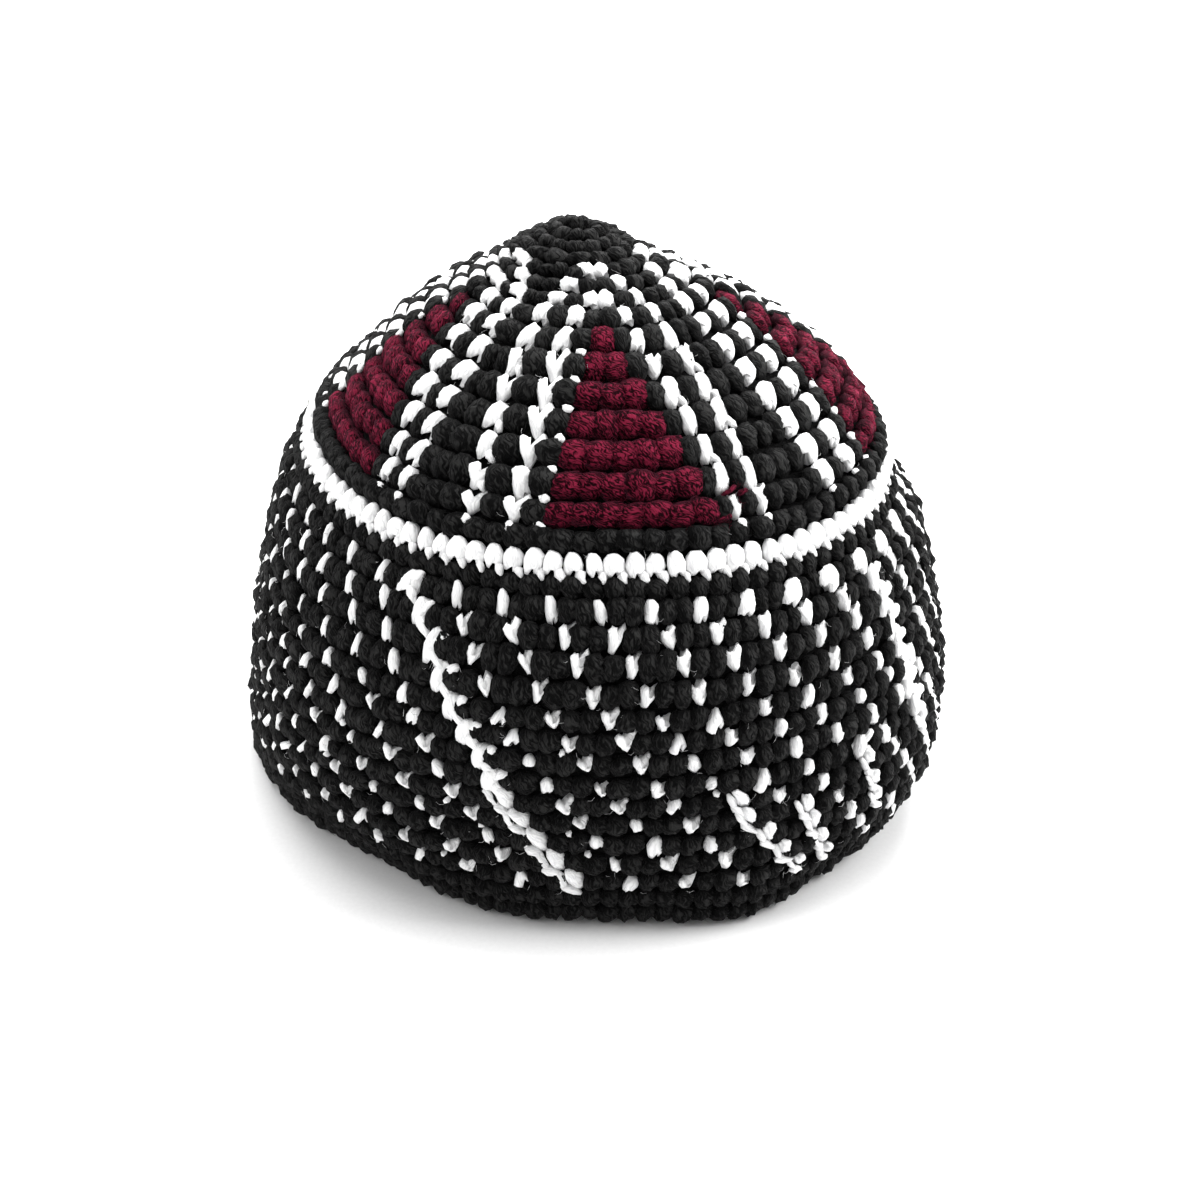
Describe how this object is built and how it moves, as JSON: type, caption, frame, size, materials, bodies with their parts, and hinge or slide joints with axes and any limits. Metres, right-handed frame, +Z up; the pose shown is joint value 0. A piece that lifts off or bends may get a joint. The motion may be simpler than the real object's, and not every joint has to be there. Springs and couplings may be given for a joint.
{
  "type": "crocheted skullcap",
  "caption": "Domed crocheted skullcap with a slightly pointed crown, a raised ridge round, a deep soft side band and a plain edging, open below for the head.",
  "frame": {"origin": "middle of the cap's footprint, on the surface that it stands on", "axes": "+Z up through the crown, -Y towards the front of the cap, +X to the right as seen from the front"},
  "size_m": [0.1876, 0.1884, 0.1443],
  "materials": {
    "crown_yarn": "matt black cotton yarn, crocheted, with white and burgundy figures",
    "ridge_yarn": "matt white cotton yarn, crocheted",
    "band_yarn": "matt black cotton yarn, crocheted, with small white stitches",
    "edging_yarn": "matt black cotton yarn, crocheted"
  },
  "bodies": {
    "root": {"crown": "crown_yarn", "ridge_round": "ridge_yarn", "side_band": "band_yarn", "rim_edging": "edging_yarn"}
  },
  "joints": []
}
